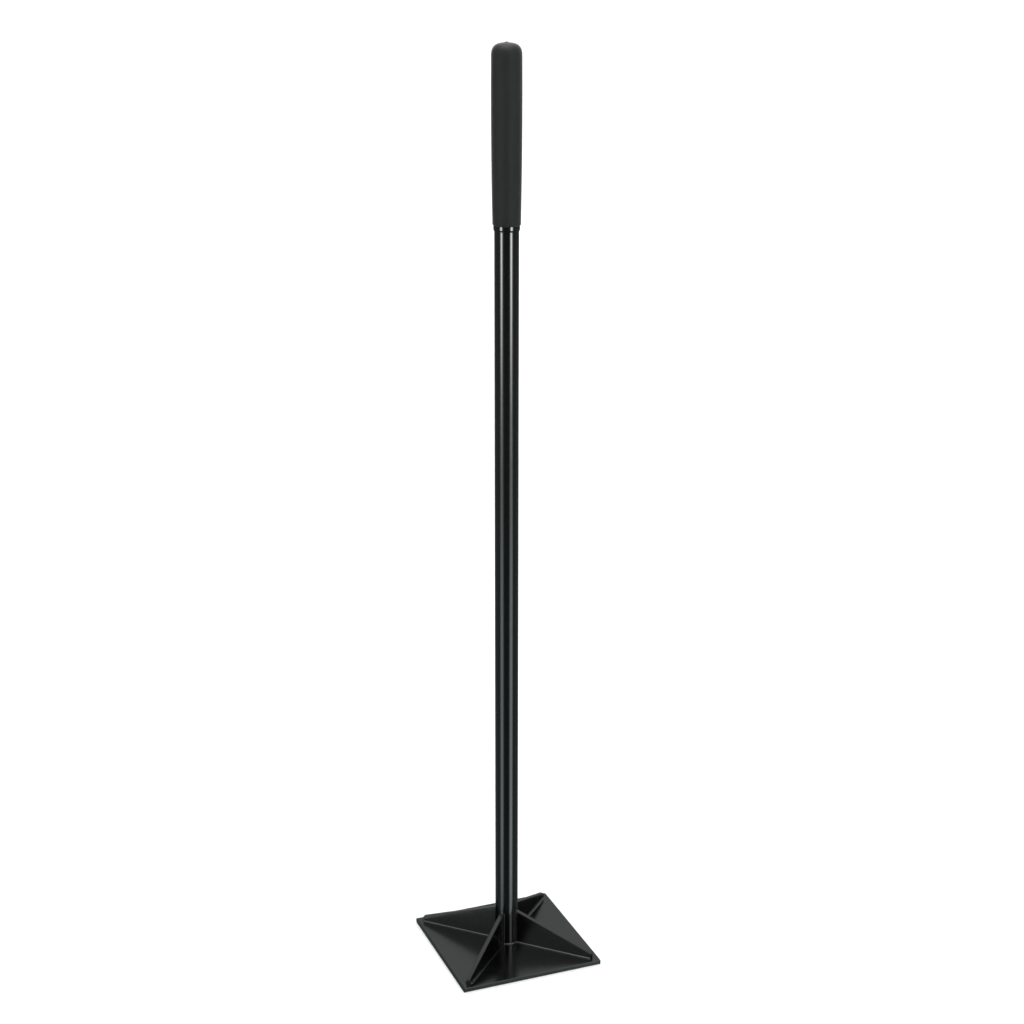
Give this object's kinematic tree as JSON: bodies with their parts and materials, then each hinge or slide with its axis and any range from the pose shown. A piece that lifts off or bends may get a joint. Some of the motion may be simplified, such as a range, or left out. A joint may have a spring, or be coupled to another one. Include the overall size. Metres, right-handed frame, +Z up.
{
  "type": "hand tamper",
  "caption": "Square steel plate with sloping gussets on a tall tube handle and a closed foam grip, for ramming soil, gravel and paving beds flat by hand.",
  "frame": {"origin": "middle of the plate's underside, on the ground", "axes": "+Z up the handle, X and Y along the plate's sides, -Y the front"},
  "size_m": [0.2032, 0.2032, 1.2512],
  "materials": {
    "coated_plate": "black powder coat, satin, on steel plate",
    "coated_weld": "black powder coat over the weld beads",
    "coated_tube": "glossy black coat on steel tube",
    "plug_plastic": "moulded black plastic, hidden under the foam",
    "grip_foam": "matte closed-cell foam rubber",
    "collar_plastic": "glossy black"
  },
  "bodies": {
    "root": {"base_plate": "coated_plate", "front_left_gusset": "coated_plate", "front_right_gusset": "coated_plate", "back_right_gusset": "coated_plate", "back_left_gusset": "coated_plate", "handle_tube": "coated_tube", "front_foot_weld": "coated_weld", "right_foot_weld": "coated_weld", "back_foot_weld": "coated_weld", "left_foot_weld": "coated_weld", "front_left_gusset_front_weld": "coated_weld", "front_right_gusset_front_weld": "coated_weld", "front_right_gusset_right_weld": "coated_weld", "back_right_gusset_right_weld": "coated_weld", "back_right_gusset_back_weld": "coated_weld", "back_left_gusset_back_weld": "coated_weld", "back_left_gusset_left_weld": "coated_weld", "front_left_gusset_left_weld": "coated_weld", "tube_plug": "plug_plastic", "foam_grip": "grip_foam", "grip_collar": "collar_plastic"}
  },
  "joints": []
}
